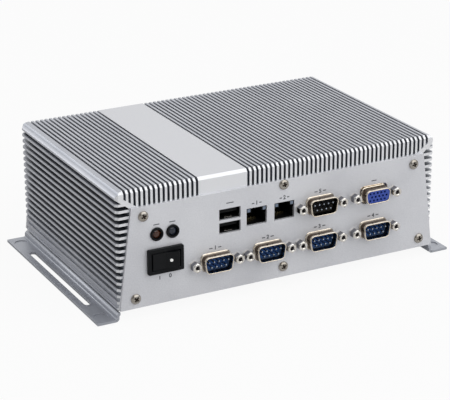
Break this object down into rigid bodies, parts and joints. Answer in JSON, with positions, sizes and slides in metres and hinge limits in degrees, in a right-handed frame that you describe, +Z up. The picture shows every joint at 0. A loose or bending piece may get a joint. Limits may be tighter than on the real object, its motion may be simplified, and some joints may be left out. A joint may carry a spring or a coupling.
{
  "type": "fanless industrial computer",
  "caption": "Compact fanless computer in a finned aluminium extrusion, with ports and a rocker switch on its front panel and slotted feet along both sides.",
  "frame": {"origin": "on the supporting surface, under the middle of the overall length and width", "axes": "+X along the front panel to the right as seen from the front, +Y from the front panel to the back, +Z up"},
  "size_m": [0.2144, 0.1378, 0.0703],
  "materials": {
    "extrusion": "fine silver anodised, satin",
    "panel": "silver anodised sheet, satin",
    "sheet": "folded sheet, silver anodised, satin",
    "bracket": "folded strip, silver anodised, satin",
    "screw": "nickel plated steel",
    "nickel": "bright nickel plated steel",
    "housing_black": "black moulded nylon, fine grain",
    "rocker_black": "black moulded plastic, smooth",
    "serial_blue": "dark blue moulded insulator",
    "serial_black": "black moulded insulator",
    "video_blue": "blue moulded insulator",
    "jack_black": "black moulded jack",
    "lens_amber": "tinted epoxy lens",
    "lens_clear": "water clear epoxy lens",
    "lens_small": "small light windows",
    "contact": "gold flashed contacts",
    "tin": "tin plated tabs",
    "board": "green solder mask",
    "chip": "moulded package",
    "pad": "soft thermal pad",
    "block": "milled, bare",
    "brass_pillar": "hexagon pillars, plated",
    "wire": "insulated flat lead"
  },
  "bodies": {
    "case": {"chassis": "extrusion", "front_panel": "panel", "rear_panel": "panel", "bottom_plate": "sheet", "left_bracket": "bracket", "right_bracket": "bracket", "board_link": "jack_black", "board_screws": "screw", "bracket_screws": "screw", "disk_led": "lens_amber", "disk_led_holder": "housing_black", "front_panel_screws": "screw", "heat_block": "block", "io_board": "board", "io_board_standoffs": "brass_pillar", "lan_contacts": "contact", "lan_indicators": "lens_small", "lan_jack_1": "jack_black", "lan_jack_2": "jack_black", "lan_shield_1": "nickel", "lan_shield_2": "nickel", "led_leads": "wire", "main_board": "board", "main_board_standoffs": "brass_pillar", "memory_module": "board", "memory_socket": "jack_black", "pin_headers": "jack_black", "port_jackscrews": "nickel", "power_inductors": "chip", "power_inlet": "jack_black", "power_led": "lens_clear", "power_led_holder": "housing_black", "processor": "chip", "rear_panel_screws": "screw", "rocker_housing": "housing_black", "rocker_terminals": "tin", "serial_insulator_1": "serial_blue", "serial_insulator_2": "serial_blue", "serial_insulator_3": "serial_blue", "serial_insulator_4": "serial_blue", "serial_insulator_5": "serial_black", "serial_pins": "contact", "serial_shell_1": "nickel", "serial_shell_2": "nickel", "serial_shell_3": "nickel", "serial_shell_4": "nickel", "serial_shell_5": "nickel", "storage_module": "board", "storage_socket": "jack_black", "switch_leads": "wire", "thermal_pads": "pad", "usb_shell": "nickel", "usb_tongues": "jack_black", "video_insulator": "video_blue", "video_shell": "nickel"},
    "rocker": {"rocker_paddle": "rocker_black"}
  },
  "joints": [
    {"name": "power_rocker", "type": "hinge", "parent": "case", "child": "rocker", "pos_m": [-0.0696, -0.0633, 0.0303], "axis": [0, 0, 1], "range_deg": [0, 20]}
  ]
}
